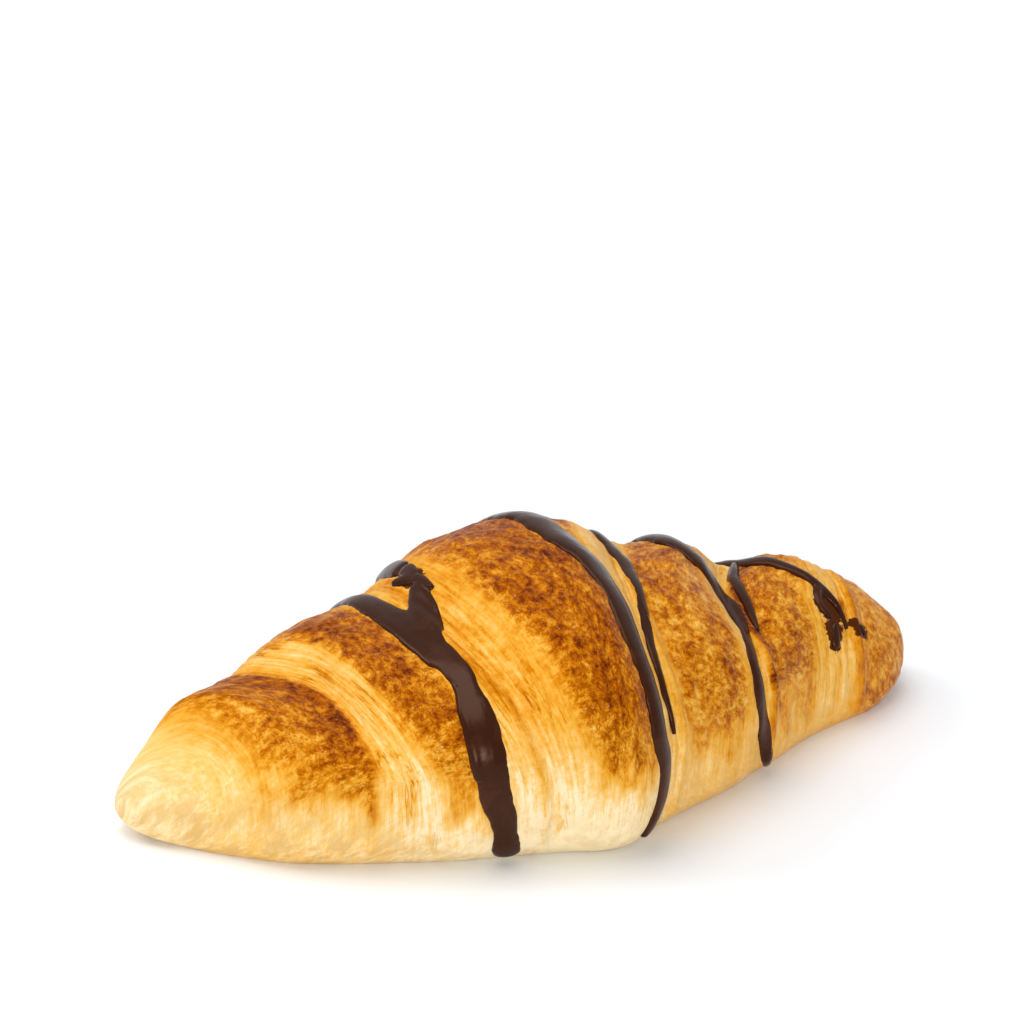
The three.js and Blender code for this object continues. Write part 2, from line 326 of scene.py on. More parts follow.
def crust_finish(along, turn, settings):
    """The finished crust's points in millimetres, and the values that its material reads."""
    base = smooth_point(along, turn)
    flat = on_wraps(along, turn)
    height = base[:, 2]
    step_lift, crease, layered = feet(flat, turn, settings.crease_depth / MILLIMETRE)
    lift = swollen(base) + step_lift
    strands = flat[:, 0] + 1.2 * noise_at(flat, (11, 30, 1), 5)
    layers = np.sin(2 * math.pi * strands * MILLIMETRE / settings.layer_spacing)
    layer_height = settings.layer_height / MILLIMETRE * np.clip(0.6 + noise_at(flat, (7, 24, 1), 7), 0, 1.2)
    lift += layer_height * layers * layered
    tone = baked_tone(along, flat, height)
    crusted = smoothstep(0.42, 0.62, tone)
    warped = flat + 1.1 * np.stack((noise_at(flat, 3.4, 12), noise_at(flat, 3.4, 13), 0 * height), -1)
    folds = 1 - 2.6 * np.abs(noise_at(warped, (3.3, 4.6, 1), 14))
    fine_folds = 1 - 2.6 * np.abs(noise_at(warped, (1.7, 2.3, 1), 15))
    ridge = np.clip(0.7 * folds + 0.3 * fine_folds, -1, 1)
    lift += settings.blister_height / MILLIMETRE * crusted * ridge
    pleats = noise_at(flat, (1.2, 16, 1), 16) + 0.6 * noise_at(flat, (3, 20, 1), 17)
    lift += settings.pleat_height / MILLIMETRE * (1 - crusted) * pleats
    tone = tone + crusted * (0.13 * noise_at(flat, (7, 9, 1), 9) + 0.08 * noise_at(flat, (3.2, 4.4, 1), 20))
    lumps = noise_at(flat, (2.6, 4.5, 1), 21) * smoothstep(4, 14, along)
    lift += settings.lump_height / MILLIMETRE * (1 - crusted) * lumps
    free = clear_of_tray(height) * smoothstep(0, 4, HALF_LENGTH - np.abs(along))
    points = base + directions(along, turn)[2] * (lift * free)[:, None]
    points[:, 2] = np.maximum(points[:, 2], 0)
    values = {
        "tone": np.clip(tone, -0.1, 1.2),
        # ridge is the blisters' relief; the material lightens the colour on its tops and darkens it in its
        # pits, as painted highlight and painted shade
        "ridge": ridge * crusted,
        # crease is the depth in a wrap's crease; the material darkens the colour there as painted shade
        "crease": crease * free,
        "layered": layered,
        "stain": stained(along, turn),
    }
    return points, values


def over_crust(along, turn, above, settings):
    """Points at a height over the crust's broad shapes, in millimetres."""
    base = smooth_point(along, turn)
    lift = calm_lift(base, on_wraps(along, turn), turn, settings) * clear_of_tray(base[:, 2])
    points = base + directions(along, turn)[2] * (lift + above)[:, None]
    points[:, 2] = np.maximum(points[:, 2], 0)
    return points


def frame_fit():
    """Scale and shift from the drawn form's box to that of the CAD croissant, in metres."""
    along, turn = np.meshgrid(np.linspace(-HALF_LENGTH, HALF_LENGTH, 331), np.linspace(0, 1, 241))
    drawn = smooth_point(along.ravel(), turn.ravel())
    low, high = (np.array(corner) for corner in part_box(CROISSANT_NODE))
    scale = (high - low) / (drawn.max(0) - drawn.min(0))
    return scale, low - drawn.min(0) * scale


FIT_SCALE, FIT_SHIFT = frame_fit()


def to_frame(points):
    return points * FIT_SCALE + FIT_SHIFT


# ---------------------------------------------------------------------------------------------------
# Shader expressions
# ---------------------------------------------------------------------------------------------------
class Number:
    """A shader socket that takes part in sums, so that an expression adds its own Math nodes."""

    def __init__(self, graph, socket):
        self.graph = graph
        self.socket = socket

    def math(self, operation, *others):
        values = dict(enumerate((self, *others)))
        return self.graph.node("ShaderNodeMath", {"operation": operation}, values)

    def __add__(self, other):
        return self.math("ADD", other)

    def __sub__(self, other):
        return self.math("SUBTRACT", other)

    def __rsub__(self, other):
        return self.graph.node("ShaderNodeMath", {"operation": "SUBTRACT"}, {0: other, 1: self})

    def __mul__(self, other):
        return self.math("MULTIPLY", other)

    def __abs__(self):
        return self.math("ABSOLUTE")

    __radd__ = __add__
    __rmul__ = __mul__

    def between(self, low, high):
        """0 at low and 1 at high, smooth in between."""
        settings = {"interpolation_type": "SMOOTHSTEP"}
        return self.graph.node("ShaderNodeMapRange", settings, {0: self, 1: low, 2: high})


# Places of the sockets that mix colours in a Mix node, which has a set of sockets for each type of data
MIX_FACTOR = 0
MIX_FIRST_COLOUR = 6
MIX_SECOND_COLOUR = 7
MIX_COLOUR_OUTPUT = 2


class Graph:
    """A new material's node tree, to which every node is added by one method."""

    def __init__(self, name):
        self.material = bpy.data.materials.new(name)
        self.material.use_nodes = True
        self.tree = self.material.node_tree
        self.tree.nodes.clear()

    def node(self, kind, settings=None, inputs=None, output=0):
        made = self.tree.nodes.new(kind)
        for key, value in (settings or {}).items():
            if key == "stops":
                self.set_stops(made.color_ramp, value)
            else:
                setattr(made, key, value)
        for key, value in (inputs or {}).items():
            if isinstance(value, Number):
                self.tree.links.new(value.socket, made.inputs[key])
            else:
                made.inputs[key].default_value = value
        return Number(self, made.outputs[output]) if made.outputs else made

    @staticmethod
    def set_stops(ramp, stops):
        while len(ramp.elements) < len(stops):
            ramp.elements.new(0.5)
        for element, (position, colour) in zip(ramp.elements, stops):
            element.position = position
            element.color = (*colour, 1)

    def attribute(self, name):
        return self.node("ShaderNodeAttribute", {"attribute_name": name}, output="Fac")

    def wrap_vector(self, along_scale, round_scale):
        """The wrap's own coordinates in features per millimetre along and round the roll."""
        wrap = self.node("ShaderNodeUVMap", {"uv_map": "wrap"})
        scale = (along_scale, round_scale, 1)
        return self.node("ShaderNodeVectorMath", {"operation": "MULTIPLY"}, {0: wrap, 1: scale})

    def noise(self, vector, scale=1.0, detail=2.0, roughness=0.5, distortion=0.0):
        inputs = {
            "Vector": vector,
            "Scale": scale,
            "Detail": detail,
            "Roughness": roughness,
            "Distortion": distortion,
        }
        return self.node("ShaderNodeTexNoise", {}, inputs, "Fac")

    def mix_colour(self, factor, first, second):
        first, second = (c if isinstance(c, Number) else (*c, 1) for c in (first, second))
        inputs = {MIX_FACTOR: factor, MIX_FIRST_COLOUR: first, MIX_SECOND_COLOUR: second}
        return self.node("ShaderNodeMix", {"data_type": "RGBA"}, inputs, MIX_COLOUR_OUTPUT)

    def finish(self, shader_inputs, height, bump_distance, bump_strength):
        """Ends the material in one Principled shader whose normal comes from a height."""
        bump_inputs = {"Strength": bump_strength, "Distance": bump_distance, "Height": height}
        normal = self.node("ShaderNodeBump", {}, bump_inputs)
        shader = self.node("ShaderNodeBsdfPrincipled", {}, {**shader_inputs, "Normal": normal})
        self.node("ShaderNodeOutputMaterial", {}, {"Surface": shader})
        return self.material


CRUST_GLOSS_TINT = (1.0, 0.5, 0.15, 1.0)
CRUST_SHEEN_TINT = (1.0, 0.88, 0.8, 1.0)
CHOCOLATE_GLOSS_TINT = (1.0, 0.62, 0.44, 1.0)


def crust_material(settings):
    """Egg-washed crust: pale stretched dough, amber and brown mottling, and layers that show as streaks."""
    g = Graph("baked_crust")
    tone = g.attribute("tone")
    ridge = g.attribute("ridge")
    crease = g.attribute("crease")
    layered = g.attribute("layered")
    object_place = g.node("ShaderNodeTexCoord", {}, {}, "Object")
    along = g.node("ShaderNodeSeparateXYZ", {}, {0: object_place}, "X")
    height = g.node("ShaderNodeSeparateXYZ", {}, {0: object_place}, "Z")
    toasted = tone.between(0.36, 0.6)
    plain = 1 - toasted
    strandy = along.between(-0.078, -0.06) * (0.35 + height.between(0.002, 0.014) * 0.65)
    blotches = g.noise(g.wrap_vector(0.34, 0.28), detail=5.0, roughness=0.62, distortion=0.2)
    flecks = g.noise(g.wrap_vector(0.85, 0.62), detail=5.0, roughness=0.66, distortion=0.15)
    grains = g.noise(g.wrap_vector(1.6, 1.2), detail=3.0, roughness=0.6)
    streaks = g.noise(g.wrap_vector(1.0, 0.07), detail=5.0, roughness=0.65)
    broad_streaks = g.noise(g.wrap_vector(0.3, 0.04), detail=3.0)
    strand_edges = g.noise(g.wrap_vector(0.6, 0.06), detail=3.0, roughness=0.6, distortion=0.2)
    line_places = g.noise(g.wrap_vector(0.16, 0.09)).between(0.5, 0.66)
    lines = 1 - abs(strand_edges - 0.5).between(0.0, 0.04)
    lines = lines * line_places * (0.25 + layered * 0.75) * plain
    mottling = (blotches - 0.5) * 0.9 + (flecks.between(0.38, 0.62) - 0.5) * 0.28 + (grains - 0.5) * 0.36
    fibres = g.noise(g.wrap_vector(1.9, 0.16), detail=4.0, roughness=0.7)
    banding = (streaks - 0.5) * 0.7 + (broad_streaks - 0.5) * 0.4 + (fibres - 0.5) * 0.45
    # Pale flecks on the toasted crust where the grain bumps rise: partly the crust's own lighter flecks,
    # partly painted highlight on the raised grains
    pale_and_lit_flecks = grains.between(0.54, 0.63) * flecks.between(0.46, 0.56) * toasted
    dark_spots = g.noise(g.wrap_vector(0.26, 0.2), detail=4.0, roughness=0.6).between(0.58, 0.68) * toasted
    shade = tone + mottling * (0.26 + toasted * 0.74)
    shade = shade + banding * (0.1 + plain * 0.6 + layered * 0.4) * strandy
    # The crease term darkens the colour in the wraps' creases as painted shade; taking off ridge paints
    # highlight on the blisters' tops and shade in their pits
    shade = shade + lines * strandy * 0.26 + crease * 0.16 + dark_spots * 0.14 - ridge * 0.1
    # Lightens the colour at those flecks: partly own colour, partly painted highlight
    shade = shade - pale_and_lit_flecks * 0.24
    stops = (
        (0.0, settings.pale_dough),
        (0.18, settings.cream_dough),
        (0.36, settings.golden_crust),
        (0.52, settings.amber_crust),
        (0.68, settings.brown_crust),
        (0.84, settings.dark_crust),
        (1.0, settings.burnt_crust),
    )
    colour = g.node("ShaderNodeValToRGB", {"stops": stops}, {0: shade})
    # Painted shade low down by the tray: the pale dough darkens in patches towards its base, most towards the
    # left tip
    low_shade_patches = g.noise(g.wrap_vector(0.22, 0.2), detail=5.0, roughness=0.7).between(0.42, 0.6)
    low_down = height.between(0.02, 0.003) * (0.35 + along.between(-0.02, -0.05) * 0.65) * plain
    colour = g.mix_colour(low_shade_patches * low_down * 0.85, colour, settings.shaded_low_dough)
    film = (g.attribute("stain") + (grains - 0.5) * 0.7 + (flecks - 0.5) * 0.7).between(0.4, 0.52)
    colour = g.mix_colour(film, colour, settings.thin_chocolate)
    pores = g.noise(object_place, 900.0, 3.0, 0.6)
    bumps = (flecks - 0.5) * 1.2 + (grains - 0.5) * 0.7
    relief = bumps * toasted + (streaks - 0.5) * plain * strandy * 0.7 - lines * 0.25 + (pores - 0.5) * 0.2
    shader = {
        "Base Color": colour,
        "Roughness": 0.56 - toasted * 0.14 + (blotches - 0.5) * 0.2,
        "Specular IOR Level": 0.05,
        "Specular Tint": CRUST_GLOSS_TINT,
        "Coat Weight": grains.between(0.6, 0.68) * toasted * 0.7,
        "Coat Roughness": 0.12,
        "Sheen Weight": 0.2,
        "Sheen Roughness": 0.3,
        "Sheen Tint": CRUST_SHEEN_TINT,
    }
    return g.finish(shader, relief, 0.4 * MILLIMETRE, 1.0)


def chocolate_material(settings):
    """Set dark chocolate, satin with faint flow marks and a light bloom in patches."""
    g = Graph("set_chocolate")
    object_place = g.node("ShaderNodeTexCoord", {}, {}, "Object")
    flow = g.noise(object_place, 150.0, 3.0, 0.5, 0.6)
    grain = g.noise(object_place, 1400.0, 3.0, 0.6)
    bloom = flow.between(0.45, 0.8)
    colour = g.mix_colour(bloom * 0.5, settings.dark_chocolate, settings.bloom_chocolate)
    height = (flow - 0.5) * 0.7 + (grain - 0.5) * 0.06
    shader = {
        "Base Color": colour,
        "Roughness": 0.24 + bloom * 0.16 + (grain - 0.5) * 0.06,
        "Specular IOR Level": 0.25,
        "Specular Tint": CHOCOLATE_GLOSS_TINT,
    }
    return g.finish(shader, height, 0.5 * MILLIMETRE, 0.5)


def floor_material(settings):
    g = Graph("pale_floor")
    object_place = g.node("ShaderNodeTexCoord", {}, {}, "Object")
    grain = g.noise(object_place, 300.0, 2.0)
    shader = {"Base Color": (*settings.floor_colour, 1), "Roughness": 0.9 + (grain - 0.5) * 0.05}
    return g.finish(shader, grain, FLOOR_GRAIN * MILLIMETRE, 0.1)


# ---------------------------------------------------------------------------------------------------
# Meshes
# ---------------------------------------------------------------------------------------------------
def to_object(name, mesh_data, material):
    piece = bpy.data.objects.new(name, mesh_data)
    bpy.context.scene.collection.objects.link(piece)
    mesh_data.materials.append(material)
    mesh_data.shade_smooth()
    return piece


def sphere_places(bm):
    """Each vertex's place on a sphere whose poles are on Z: its part of the way down and its turn."""
    places = np.array([vertex.co for vertex in bm.verts])
    down = np.arccos(np.clip(places[:, 2] / np.linalg.norm(places, axis=1), -1, 1)) / math.pi
    turn = (np.arctan2(places[:, 1], places[:, 0]) / (2 * math.pi)) % 1
    return down, turn


def move_vertices(verts, points):
    for vertex, point in zip(verts, points.tolist()):
        vertex.co = point


def even_places(down):
    """Turns even steps from one tip to the other into places along the roll, closer in the round tips."""
    left_arc = LEFT_NOSE * math.pi / 2
    right_arc = RIGHT_NOSE * math.pi / 2
    straight = 2 * HALF_LENGTH - LEFT_NOSE - RIGHT_NOSE
    walked = down * (left_arc + straight + right_arc)
    left = -HALF_LENGTH + LEFT_NOSE * (1 - np.cos(np.minimum(walked, left_arc) / LEFT_NOSE))
    to_go = left_arc + straight + right_arc - walked
    right = HALF_LENGTH - RIGHT_NOSE * (1 - np.cos(np.minimum(to_go, right_arc) / RIGHT_NOSE))
    middle = -HALF_LENGTH + LEFT_NOSE + walked - left_arc
    return np.where(walked < left_arc, left, np.where(to_go < right_arc, right, middle))


def crust_turns(turn):
    """Thins the mesh out underneath, where the crust lies flat on the tray."""
    return np.interp(turn, (0, 0.04, 0.96, 1), (0, 0.12, 0.88, 1))


def add_wrap_map(bm, places, along, turns):
    """A UV map in millimetres: along the wraps and round the roll, whole at the seam underneath."""
    girth = np.interp(along, GIRTH_PLACES, GIRTHS)
    layer = bm.loops.layers.uv.new("wrap")
    for face in bm.faces:
        face_turns = [turns[loop.vert.index] for loop in face.loops]
        crosses = max(face_turns) - min(face_turns) > 0.5
        for loop, turn in zip(face.loops, face_turns):
            whole = turn + 1 if crosses and turn < 0.5 else turn
            loop[layer].uv = (places[loop.vert.index], (whole - 0.5) * girth[loop.vert.index])


def store(mesh_data, name, values):
    attribute = mesh_data.attributes.new(name, "FLOAT", "POINT")
    attribute.data.foreach_set("value", np.asarray(values, np.float32))


def croissant_mesh(settings):
    bm = bmesh.new()
    bmesh.ops.create_uvsphere(bm, u_segments=settings.segments_round, v_segments=settings.rings, radius=1)
    bm.verts.ensure_lookup_table()
    bm.verts.index_update()
    down, turn = sphere_places(bm)
    along = even_places(down)
    turn = crust_turns(turn)
    points, values = crust_finish(along, turn, settings)
    move_vertices(bm.verts, to_frame(points))
    add_wrap_map(bm, wound(along, turn), along, turn)
    bmesh.ops.recalc_face_normals(bm, faces=bm.faces)
    mesh_data = bpy.data.meshes.new("croissant_crust")
    bm.to_mesh(mesh_data)
    bm.free()
    for name, value in values.items():
        store(mesh_data, name, value)
    return mesh_data


# ---------------------------------------------------------------------------------------------------
# Chocolate lines: each point is the place along the roll, the turn round it and the width
# ---------------------------------------------------------------------------------------------------
LEFT_TRUNK = (
    (-18.2, 0.137, 5.2), (-18.9, 0.158, 5.6), (-19.5, 0.182, 4.8), (-20.2, 0.203, 5.5),
    (-21.5, 0.221, 5.9), (-22.6, 0.245, 6.2), (-23.2, 0.28, 7.2), (-23.1, 0.312, 7), (-23, 0.345, 6.3),
    (-23.2, 0.38, 5.7), (-23, 0.408, 5), (-23.5, 0.433, 5.4), (-24.6, 0.455, 6.6), (-25.7, 0.482, 7.1),
    (-26.8, 0.51, 7), (-27.8, 0.535, 6.2), (-28.7, 0.563, 5.5), (-29.3, 0.593, 5), (-29.8, 0.625, 4.4),
    (-30.6, 0.665, 3.8), (-31.6, 0.7, 3.2),
)
LEFT_NEAR_RUN = (
    (-24.4, 0.405, 1.4), (-25.2, 0.36, 2.6), (-25.3, 0.32, 2.8), (-25.3, 0.28, 2.8), (-25, 0.25, 2.2),
)
LEFT_FAR_RUN = (
    (-22.4, 0.4, 2.4), (-22.2, 0.36, 2.8), (-22.2, 0.32, 3), (-22.4, 0.285, 2.4), (-22.6, 0.265, 1.4),
)
LEFT_DROP = ((-19.6, 0.19, 3.2), (-18.9, 0.172, 4.4), (-18.6, 0.16, 3.6))
LEFT_KNOB = (
    (-25.4, 0.45, 4.4), (-23.9, 0.483, 5.6), (-22.2, 0.515, 5.8), (-20.9, 0.54, 4.8), (-19.9, 0.556, 3.6),
)
LEFT_RIM = (
    (-22.8, 0.588, 1.6), (-21.6, 0.58, 2.6), (-20.4, 0.572, 3), (-19.2, 0.556, 2.6), (-18.6, 0.53, 1.2),
)
LEFT_BEND = ((-19.8, 0.558, 2.6), (-19.4, 0.575, 3.4), (-19.4, 0.595, 4.4))
LEFT_BACK = (
    (-19.7, 0.592, 4.6), (-19.8, 0.615, 5), (-19.6, 0.65, 4.6), (-19, 0.7, 3.6), (-18.6, 0.74, 2.6),
)
CENTRE_BROAD = (
    (7, 0.15, 2.6), (8.4, 0.168, 3.6), (9.5, 0.19, 4), (10.1, 0.215, 4.1), (9.8, 0.245, 4.2),
    (8.6, 0.28, 4.4), (8.4, 0.32, 4.8), (8.3, 0.35, 5.3), (8.4, 0.385, 5.5), (8.8, 0.41, 5.8),
    (9.2, 0.44, 6.4), (8.6, 0.475, 7.2), (6.6, 0.51, 8), (5.6, 0.56, 7.8), (3.6, 0.61, 7), (1, 0.67, 5.5),
    (0, 0.73, 4), (0.6, 0.78, 2.6),
)
CENTRE_THIN = (
    (12.6, 0.272, 0.8), (12.6, 0.3, 1.3), (12.6, 0.33, 1.8), (12.8, 0.36, 2.1), (13.4, 0.39, 2.2),
    (16.1, 0.44, 2.5), (18.8, 0.49, 3), (20.3, 0.52, 3.5), (20.9, 0.56, 3.8), (21.5, 0.6, 3.4),
    (22.5, 0.66, 2.2),
)
RIGHT_BROAD = (
    (41.6, 0.14, 2), (40.5, 0.165, 2.9), (39.4, 0.19, 3.2), (38.4, 0.21, 3.3), (37.2, 0.235, 3.4),
    (36.3, 0.27, 3.7), (36.2, 0.325, 4), (36.9, 0.365, 4), (38, 0.4, 3.6), (39, 0.43, 3.6),
    (39.6, 0.46, 4.2), (39.4, 0.49, 5.2), (38, 0.52, 5.8), (36, 0.55, 6), (34.6, 0.59, 5.4),
    (33.4, 0.64, 4.4), (32.8, 0.7, 3.2), (33, 0.74, 2.4),
)
RIGHT_THIN = (
    (41.3, 0.392, 0.8), (41.8, 0.41, 1.4), (42.5, 0.435, 1.9), (43.5, 0.469, 2.3), (44.2, 0.492, 2.5),
    (45.1, 0.52, 2.6), (46.7, 0.541, 2.4), (48.3, 0.565, 2), (49.7, 0.588, 1.2),
)
END_LINE = (
    (49.6, 0.74, 2.2), (48.8, 0.68, 2.8), (48.8, 0.635, 3.3), (49.6, 0.6, 3.6), (51.4, 0.569, 3.8),
    (53.6, 0.538, 3.9), (55.4, 0.515, 3.7), (57.2, 0.497, 3.2), (59, 0.477, 3), (60.4, 0.455, 2.8),
    (61.6, 0.438, 2.8), (62.6, 0.422, 2.2), (63.6, 0.4, 1.6), (63.8, 0.372, 1.3), (63.9, 0.346, 0.8),
)
END_SMEAR = ((60.6, 0.445, 2.2), (59.2, 0.42, 2), (58.9, 0.402, 1.8), (59.6, 0.385, 1.5), (60.6, 0.37, 1))
END_FINGER = ((60.9, 0.362, 1), (60.6, 0.342, 2), (60.2, 0.32, 2.6), (59.9, 0.298, 1.8))
END_SPOT = ((66.6, 0.362, 0.8), (67.5, 0.35, 1.2), (68.1, 0.336, 0.8))

# Each node with its lines and how thick they lie, in millimetres
CHOCOLATE_LINES = (
    (
        "drizzle_left_forked",
        (
            (LEFT_TRUNK, 1.15), (LEFT_NEAR_RUN, 2), (LEFT_FAR_RUN, 2.1), (LEFT_DROP, 2.2), (LEFT_KNOB, 1.4),
            (LEFT_RIM, 1.0), (LEFT_BEND, 0.9), (LEFT_BACK, 1.1),
        ),
    ),
    ("drizzle_centre_broad", ((CENTRE_BROAD, 0.75),)),
    ("drizzle_centre_thin", ((CENTRE_THIN, 0.8),)),
    ("drizzle_right_broad", ((RIGHT_BROAD, 0.8),)),
    ("drizzle_right_thin", ((RIGHT_THIN, 0.8),)),
    (
        "drizzle_end_smeared",
        ((END_LINE, 0.75), (END_SMEAR, 0.6), (END_FINGER, 0.7), (END_SPOT, 0.3)),
    ),
)


ROPE_SEGMENTS = 24
FEWEST_RINGS = 8
ROPE_PROBE = 0.5  # distance each way over which a line's direction is taken, in millimetres
EDGES_APART = 40  # keeps the ripples of a line's two edges unlike each other
DOME_POWER = 0.6  # below 1 the top is flatter than a round rope's
FULL_WIDTH = 2  # a line narrower than this many millimetres lies thinner
THIN_SINK = 0.5  # how far the thinnest lines sink into the crust, in millimetres
CHOCOLATE_SEED = 50  # seed of the first node's ripples
SEEDS_APART = 10  # from one line of a node to the next


def path_curves(path):
    """A path's length, and a function that gives its places, turns and widths at distances walked."""
    path = np.array(path, float)
    steps = np.hypot(np.diff(path[:, 0]), np.diff(path[:, 1]) * GIRTH)
    walked = np.concatenate(((0,), np.cumsum(steps)))
    curves = [tuple(zip(walked, column)) for column in path.T]
    return walked[-1], lambda at: [outline(curve, at) for curve in curves]


def add_rope(bm, path, thickness, seed, settings):
    """A line of chocolate from a sphere, laid along its path so that it follows the crust beneath."""
    length, at_walk = path_curves(path)
    rings = max(int(length * MILLIMETRE / settings.chocolate_fineness), FEWEST_RINGS)
    verts = bmesh.ops.create_uvsphere(bm, u_segments=ROPE_SEGMENTS, v_segments=rings, radius=1)["verts"]
    unit = np.array([vertex.co for vertex in verts])
    down = np.arccos(np.clip(unit[:, 2], -1, 1)) / math.pi
    ring = np.maximum(np.hypot(unit[:, 0], unit[:, 1]), 1e-6)
    side = unit[:, 0] / ring
    top = unit[:, 1] / ring
    walked = down * length
    along, turn, width = at_walk(walked)
    later = at_walk(walked + ROPE_PROBE)
    sooner = at_walk(walked - ROPE_PROBE)
    ahead = [after - before for after, before in zip(later, sooner)]
    end = np.minimum(np.minimum(walked, length - walked) / (width * 0.5), 1)
    roundness = np.sqrt(np.maximum(1 - (1 - end) ** 2, 0))
    edges = np.stack((walked, EDGES_APART * np.sign(side), 0 * walked), -1)
    ripple = 1 + 0.12 * noise_at(edges, 6, seed) + 0.06 * noise_at(edges, 2.2, seed + 1)
    forward, round_way, out = directions(along, turn)
    way = forward * ahead[0][:, None] + round_way * (ahead[1] * GIRTH)[:, None]
    across = np.cross(out, way)
    across /= np.maximum(np.linalg.norm(across, axis=1, keepdims=True), 1e-9)
    offset = side * roundness * width * ripple / 2
    along_square = (forward * forward).sum(1)
    skew = (forward * round_way).sum(1)
    round_square = (round_way * round_way).sum(1)
    wanted_along = (forward * across).sum(1) * offset
    wanted_round = (round_way * across).sum(1) * offset
    area = along_square * round_square - skew**2
    along = along + (round_square * wanted_along - skew * wanted_round) / area
    turn = turn + (along_square * wanted_round - skew * wanted_along) / area / GIRTH
    swell = 1 + 0.15 * noise_at(edges * (1, 0, 1), 7, seed + 2)
    thinned = np.minimum(width / FULL_WIDTH, 1)
    edge = settings.chocolate_edge / MILLIMETRE
    dome = (edge + thickness * np.maximum(top, 0) ** DOME_POWER) * roundness * swell * thinned
    dome = dome - THIN_SINK * (1 - thinned)
    above = np.where(top > 0, dome, top * roundness * settings.chocolate_sink / MILLIMETRE)
    move_vertices(verts, to_frame(over_crust(along, turn, above, settings)))


def fused(mesh_data, settings):
    """The same shape as one closed skin, with the places where lines meet smoothed over."""
    rough = bpy.data.objects.new("rough_lines", mesh_data)
    bpy.context.scene.collection.objects.link(rough)
    fuse = rough.modifiers.new("fuse", "REMESH")
    fuse.mode = "VOXEL"
    fuse.voxel_size = settings.chocolate_voxel
    settle = rough.modifiers.new("settle", "SMOOTH")
    settle.factor = 0.5
    settle.iterations = 5
    skin = bpy.data.meshes.new_from_object(rough.evaluated_get(bpy.context.evaluated_depsgraph_get()))
    bpy.data.objects.remove(rough)
    return skin


def chocolate_mesh(name, lines, seed, settings):
    bm = bmesh.new()
    for number, (path, thickness) in enumerate(lines):
        add_rope(bm, path, thickness, seed + SEEDS_APART * number, settings)
    bmesh.ops.recalc_face_normals(bm, faces=bm.faces)
    mesh_data = bpy.data.meshes.new("rough_lines")
    bm.to_mesh(mesh_data)
    bm.free()
    skin = fused(mesh_data, settings)
    skin.name = name
    return skin


# ---------------------------------------------------------------------------------------------------
# Stage
# ---------------------------------------------------------------------------------------------------
FLOOR_SIZE = 6.0  # in metres
FLOOR_GRAIN = 0.02  # height of the floor's grain, in millimetres
WORLD_STRENGTH = 0.55
LIGHT_TARGET = (0, 0, 0.02)

# Each light's name, place, diameter and power, in metres and watts
LIGHTS = (
    ("top", (-0.2, 0.2, 1.9), 1.5, 16.5),
    ("key", (-1.2, 0.9, 1.4), 1.0, 9.5),
    ("fill", (-0.9, -1.9, 0.75), 0.8, 16.0),
)

VIEW_HEIGHT = 20.0  # height of the point that the camera's distance is measured to, in millimetres
AIM_ABOVE = 29.3  # how far above and to the left of that point the camera aims, in millimetres
AIM_LEFT = 1.32
LENS = 165.23  # in millimetres, as the sensor's width is
SENSOR = 36.0
FARTHEST_SEEN = 20  # in metres


def make_floor(settings):
    bm = bmesh.new()
    bmesh.ops.create_grid(bm, x_segments=1, y_segments=1, size=FLOOR_SIZE / 2)
    mesh_data = bpy.data.meshes.new("floor")
    bm.to_mesh(mesh_data)
    bm.free()
    floor = bpy.data.objects.new("floor", mesh_data)
    bpy.context.scene.collection.objects.link(floor)
    mesh_data.materials.append(floor_material(settings))
    mesh_data.transform(Matrix.Translation((0, 0, cad_bounds[0][2])))


def add_area_light(name, place, size, power):
    data = bpy.data.lights.new(name, "AREA")
    data.shape = "DISK"
    data.size = size
    data.energy = power
    light = bpy.data.objects.new(name, data)
    bpy.context.scene.collection.objects.link(light)
    light.location = place
    light.rotation_euler = (Vector(LIGHT_TARGET) - Vector(place)).to_track_quat("-Z", "Y").to_euler()


def make_lights():
    world = bpy.data.worlds.new("studio")
    world.use_nodes = True
    background = world.node_tree.nodes["Background"]
    background.inputs["Color"].default_value = (1.0, 1.0, 1.0, 1)
    background.inputs["Strength"].default_value = WORLD_STRENGTH
    bpy.context.scene.world = world
    bpy.context.scene.view_settings.view_transform = "Standard"
    for light in LIGHTS:
        add_area_light(*light)


def make_camera(settings):
    middle = to_frame(np.array((0.0, 0.0, VIEW_HEIGHT)))
    level = math.cos(settings.elevation)
    cosine = math.cos(settings.azimuth)
    sine = math.sin(settings.azimuth)
    back = Vector((sine * level, -cosine * level, math.sin(settings.elevation)))
    right = Vector((cosine, sine, 0))
    up = back.cross(right)
    data = bpy.data.cameras.new("camera")
    data.sensor_width = SENSOR
    data.lens = LENS
    data.clip_end = FARTHEST_SEEN
    camera = bpy.data.objects.new("camera", data)
    bpy.context.scene.collection.objects.link(camera)
    camera.location = Vector(middle) + back * settings.distance
    aim = Vector(middle) + (up * AIM_ABOVE - right * AIM_LEFT) * MILLIMETRE
    camera.rotation_euler = (aim - camera.location).to_track_quat("-Z", "Y").to_euler()
    bpy.context.scene.camera = camera


# ---------------------------------------------------------------------------------------------------
# Settings
# ---------------------------------------------------------------------------------------------------
def count_setting(name, description, default):
    return bpy.props.IntProperty(name=name, description=description, default=default, min=8)


def angle_setting(name, description, degrees):
    return bpy.props.FloatProperty(
        name=name, description=description, default=math.radians(degrees), subtype="ANGLE"
    )


def length_setting(name, description, millimetres):
    return bpy.props.FloatProperty(
        name=name,
        description=description,
        default=millimetres * MILLIMETRE,
        min=0,
        precision=5,
        unit="LENGTH",
    )


def colour_setting(name, description, default):
    return bpy.props.FloatVectorProperty(
        name=name, description=description, default=default, subtype="COLOR", min=0, max=1
    )


